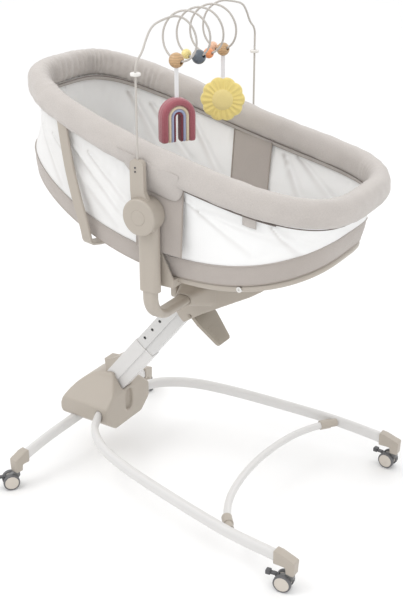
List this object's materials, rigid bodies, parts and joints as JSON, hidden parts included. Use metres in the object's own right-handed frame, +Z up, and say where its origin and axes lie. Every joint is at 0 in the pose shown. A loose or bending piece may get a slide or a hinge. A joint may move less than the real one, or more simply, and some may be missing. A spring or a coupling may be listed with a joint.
{
  "type": "convertible bassinet",
  "caption": "Wheeled bassinet: padded oval basket with mesh sides tilting on a yoke, telescopic slanted column with a release lever, braked casters and a lift-off toy arch.",
  "frame": {"origin": "on the floor, on the mirror plane, midway to 3 mm between the front and rear casters", "axes": "+X from the head end to the foot end, +Y to the far side, +Z up"},
  "size_m": [0.924, 0.7484, 1.2985],
  "materials": {
    "white_paint": "satin powder coat",
    "column_paint": "satin powder coat",
    "beige_plastic": "fine moulded texture",
    "beige_paint": "satin powder coat",
    "lever_plastic": "fine moulded texture",
    "screw_steel": "plated",
    "dark_plastic": "moulded",
    "padding_fabric": "melange weave",
    "mesh_fabric": "fine open mesh",
    "band_fabric": "woven",
    "board_plastic": "moulded",
    "mattress_fabric": "quilted knit",
    "wire_paint": "gloss enamel",
    "stop_plastic": "moulded",
    "bead_wood": "oiled",
    "bead_yellow": "painted",
    "bead_grey": "painted",
    "bead_orange": "painted",
    "bead_peach": "painted",
    "ribbon_white": "woven tape",
    "rainbow_knit": "knitted",
    "sun_knit": "woven",
    "caster_plastic": "moulded",
    "caster_grey": "moulded",
    "tyre_grey": "soft tread",
    "brake_grey": "moulded"
  },
  "bodies": {
    "base": {"front_end_caps": "beige_plastic", "rear_end_caps": "beige_plastic", "side_frame_tubes": "white_paint", "rear_leg_tube": "white_paint", "crossbar_tube": "white_paint", "crossbar_collars": "beige_plastic", "hub_shell": "beige_plastic", "column_outer": "white_paint", "column_foot_cover": "beige_plastic"},
    "head": {"column_inner": "column_paint", "lock_plug": "dark_plastic", "lock_rod": "screw_steel", "head_housing": "beige_plastic", "housing_cover": "beige_plastic", "housing_screws": "screw_steel", "yoke_tubes": "beige_paint", "yoke_posts": "beige_plastic"},
    "lever": {"release_lever": "lever_plastic"},
    "basket": {"basket_tubes": "beige_paint", "rim_padding": "padding_fabric", "mesh_liner": "mesh_fabric", "lower_band": "band_fabric", "floor_bolts": "screw_steel", "side_hinges": "beige_plastic", "side_discs": "beige_plastic", "seat_board": "board_plastic", "backrest_board": "board_plastic", "mattress": "mattress_fabric", "gusset_panels": "band_fabric", "head_hoop": "beige_plastic"},
    "button_near": {"side_button_near": "beige_plastic"},
    "button_far": {"side_button_far": "beige_plastic"},
    "toy_bar": {"toy_wire": "wire_paint", "wire_stops": "stop_plastic"},
    "rainbow": {"bead_wood_near": "bead_wood", "rainbow_ribbon": "ribbon_white", "rainbow_toy": "rainbow_knit"},
    "sun": {"bead_wood_far": "bead_wood", "sun_ribbon": "ribbon_white", "sun_toy": "sun_knit"},
    "bead_yellow_body": {"bead_yellow": "bead_yellow"},
    "bead_grey_body": {"bead_grey": "bead_grey"},
    "bead_orange_body": {"bead_orange": "bead_orange"},
    "bead_peach_body": {"bead_peach": "bead_peach"},
    "caster_front_near": {"caster_front_near_fork": "caster_grey"},
    "roller_front_near": {"caster_front_near_wheels": "caster_plastic", "caster_front_near_tyres": "tyre_grey"},
    "brake_front_near": {"caster_front_near_brake": "brake_grey"},
    "caster_front_far": {"caster_front_far_fork": "caster_grey"},
    "roller_front_far": {"caster_front_far_wheels": "caster_plastic", "caster_front_far_tyres": "tyre_grey"},
    "brake_front_far": {"caster_front_far_brake": "brake_grey"},
    "caster_rear_near": {"caster_rear_near_fork": "caster_grey"},
    "roller_rear_near": {"caster_rear_near_wheels": "caster_plastic", "caster_rear_near_tyres": "tyre_grey"},
    "brake_rear_near": {"caster_rear_near_brake": "brake_grey"},
    "caster_rear_far": {"caster_rear_far_fork": "caster_grey"},
    "roller_rear_far": {"caster_rear_far_wheels": "caster_plastic", "caster_rear_far_tyres": "tyre_grey"},
    "brake_rear_far": {"caster_rear_far_brake": "brake_grey"}
  },
  "joints": [
    {"name": "height_slide", "type": "slide", "parent": "base", "child": "head", "axis": [-0.6347, 0, -0.7727], "range_m": [0, 0.18]},
    {"name": "release_lever_pivot", "type": "hinge", "parent": "head", "child": "lever", "pos_m": [-0.024, 0, 0.514], "axis": [0, -1, 0], "range_deg": [0, 12], "stiffness_Nm_per_rad": 2, "springref_deg": -11.46},
    {"name": "basket_tilt", "type": "hinge", "parent": "head", "child": "basket", "pos_m": [-0.015, 0, 0.858], "axis": [0, 1, 0], "range_deg": [-12, 12]},
    {"name": "button_near_press", "type": "slide", "parent": "basket", "child": "button_near", "axis": [0, 1, 0], "range_m": [0, 0.004], "stiffness_N_per_m": 800, "springref_m": -0.002},
    {"name": "button_far_press", "type": "slide", "parent": "basket", "child": "button_far", "axis": [0, -1, 0], "range_m": [0, 0.004], "stiffness_N_per_m": 800, "springref_m": -0.002},
    {"name": "toy_bar_lift", "type": "slide", "parent": "basket", "child": "toy_bar", "axis": [0, 0, 1], "range_m": [0, 0.045]},
    {"name": "rainbow_swing", "type": "hinge", "parent": "toy_bar", "child": "rainbow", "pos_m": [-0.03449, -0.0882, 1.18499], "axis": [-0.9683, 0.1681, 0.1847], "range_deg": [-18, 18]},
    {"name": "sun_swing", "type": "hinge", "parent": "toy_bar", "child": "sun", "pos_m": [-0.01178, 0.0879, 1.18535], "axis": [-0.962, 0.1681, -0.215], "range_deg": [-18, 18]},
    {"name": "bead_yellow_spin", "type": "hinge", "parent": "toy_bar", "child": "bead_yellow_body", "pos_m": [-0.04624, -0.0261, 1.18861], "axis": [-0.9047, 0.1681, 0.3915], "continuous": true},
    {"name": "bead_grey_spin", "type": "hinge", "parent": "toy_bar", "child": "bead_grey_body", "pos_m": [-0.0067, -0.033, 1.18674], "axis": [-0.9375, 0.1681, -0.3046], "continuous": true},
    {"name": "bead_orange_spin", "type": "hinge", "parent": "toy_bar", "child": "bead_orange_body", "pos_m": [-0.01698, 0.0288, 1.18444], "axis": [-0.978, 0.1681, -0.1236], "continuous": true},
    {"name": "bead_peach_spin", "type": "hinge", "parent": "toy_bar", "child": "bead_peach_body", "pos_m": [-0.04462, 0.0936, 1.18793], "axis": [-0.9165, 0.1681, 0.3629], "continuous": true},
    {"name": "caster_front_near_swivel", "type": "hinge", "parent": "base", "child": "caster_front_near", "pos_m": [0.432, -0.32, 0], "axis": [0, 0, 1], "continuous": true},
    {"name": "caster_front_near_roll", "type": "hinge", "parent": "caster_front_near", "child": "roller_front_near", "pos_m": [0.41319, -0.32264, 0.023], "axis": [-0.1392, 0.9903, 0], "continuous": true},
    {"name": "caster_front_near_brake", "type": "hinge", "parent": "caster_front_near", "child": "brake_front_near", "pos_m": [0.39734, -0.32487, 0.035], "axis": [0.1392, -0.9903, 0], "range_deg": [0, 20]},
    {"name": "caster_front_far_swivel", "type": "hinge", "parent": "base", "child": "caster_front_far", "pos_m": [0.432, 0.32, 0], "axis": [0, 0, 1], "continuous": true},
    {"name": "caster_front_far_roll", "type": "hinge", "parent": "caster_front_far", "child": "roller_front_far", "pos_m": [0.4131, 0.32199, 0.023], "axis": [0.1045, 0.9945, 0], "continuous": true},
    {"name": "caster_front_far_brake", "type": "hinge", "parent": "caster_front_far", "child": "brake_front_far", "pos_m": [0.39719, 0.32366, 0.035], "axis": [-0.1045, -0.9945, 0], "range_deg": [0, 20]},
    {"name": "caster_rear_near_swivel", "type": "hinge", "parent": "base", "child": "caster_rear_near", "pos_m": [-0.426, -0.32, 0], "axis": [0, 0, 1], "continuous": true},
    {"name": "caster_rear_near_roll", "type": "hinge", "parent": "caster_rear_near", "child": "roller_rear_near", "pos_m": [-0.43821, -0.33455, 0.023], "axis": [-0.766, 0.6428, 0], "continuous": true},
    {"name": "caster_rear_near_brake", "type": "hinge", "parent": "caster_rear_near", "child": "brake_rear_near", "pos_m": [-0.4485, -0.34681, 0.035], "axis": [0.766, -0.6428, 0], "range_deg": [0, 20]},
    {"name": "caster_rear_far_swivel", "type": "hinge", "parent": "base", "child": "caster_rear_far", "pos_m": [-0.426, 0.32, 0], "axis": [0, 0, 1], "continuous": true},
    {"name": "caster_rear_far_roll", "type": "hinge", "parent": "caster_rear_far", "child": "roller_rear_far", "pos_m": [-0.43821, 0.33455, 0.023], "axis": [0.766, 0.6428, 0], "continuous": true},
    {"name": "caster_rear_far_brake", "type": "hinge", "parent": "caster_rear_far", "child": "brake_rear_far", "pos_m": [-0.4485, 0.34681, 0.035], "axis": [-0.766, -0.6428, 0], "range_deg": [0, 20]}
  ]
}
